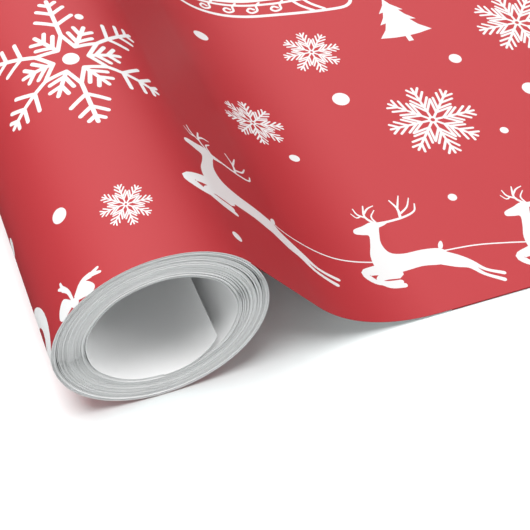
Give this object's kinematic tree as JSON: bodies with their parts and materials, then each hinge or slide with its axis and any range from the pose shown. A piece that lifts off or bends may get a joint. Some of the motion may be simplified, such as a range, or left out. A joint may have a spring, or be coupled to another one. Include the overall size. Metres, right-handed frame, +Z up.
{
  "type": "wrapping paper roll",
  "caption": "Coreless roll of printed gift wrapping paper, its sheet drawn off over the top, sloping down and lying flat to its free end.",
  "frame": {"origin": "on the surface that the roll and the sheet rest on, at the centre of the footprint", "axes": "+X is the way the sheet is drawn off, +Y runs along the roll from its near cut edge to the far one, +Z is up"},
  "size_m": [0.4249, 0.762, 0.05],
  "materials": {
    "printed_paper": "satin, red with white print",
    "paper_back": "matt uncoated white"
  },
  "bodies": {
    "run_off": {"leaving_sheet": "printed_paper", "foot_bend": "printed_paper", "lap_sheet": "printed_paper"},
    "roll": {"outermost_turn": "printed_paper", "wound_turns_1": "paper_back", "wound_turns_2": "paper_back", "wound_turns_3": "paper_back", "innermost_turn": "paper_back"},
    "inner_end": {"inner_loose_end": "paper_back"},
    "laid": {"laid_sheet": "printed_paper"},
    "free_end_1": {"free_end_strip_1": "printed_paper"},
    "free_end_2": {"free_end_strip_2": "printed_paper"},
    "free_end_3": {"free_end_strip_3": "printed_paper"},
    "free_end_4": {"free_end_strip_4": "printed_paper"}
  },
  "joints": [
    {"name": "roll_turn", "type": "hinge", "parent": "run_off", "child": "roll", "pos_m": [-0.1875, 0, 0.025], "axis": [0, 1, 0], "range_deg": [0, 360]},
    {"name": "sheet_pull", "type": "slide", "parent": "run_off", "child": "laid", "axis": [1, 0, 0], "range_m": [0, 0.15708]},
    {"name": "inner_end_flex", "type": "hinge", "parent": "roll", "child": "inner_end", "pos_m": [-0.18603, 0, 0.00821], "axis": [0, -1, 0], "range_deg": [0, 20], "stiffness_Nm_per_rad": 0.001},
    {"name": "end_lift_1", "type": "hinge", "parent": "laid", "child": "free_end_1", "pos_m": [0.11265, 0, 0.00015], "axis": [0, -1, 0], "range_deg": [0, 25]},
    {"name": "end_lift_2", "type": "hinge", "parent": "free_end_1", "child": "free_end_2", "pos_m": [0.13765, 0, 0.00015], "axis": [0, -1, 0], "range_deg": [0, 25]},
    {"name": "end_lift_3", "type": "hinge", "parent": "free_end_2", "child": "free_end_3", "pos_m": [0.16265, 0, 0.00015], "axis": [0, -1, 0], "range_deg": [0, 25]},
    {"name": "end_lift_4", "type": "hinge", "parent": "free_end_3", "child": "free_end_4", "pos_m": [0.18765, 0, 0.00015], "axis": [0, -1, 0], "range_deg": [0, 25]}
  ],
  "couplings": [
    {"joint": "sheet_pull", "follows": "roll_turn", "m_per_rad": 0.025},
    {"joint": "end_lift_2", "follows": "end_lift_1", "ratio": 1},
    {"joint": "end_lift_3", "follows": "end_lift_1", "ratio": 1},
    {"joint": "end_lift_4", "follows": "end_lift_1", "ratio": 1}
  ]
}
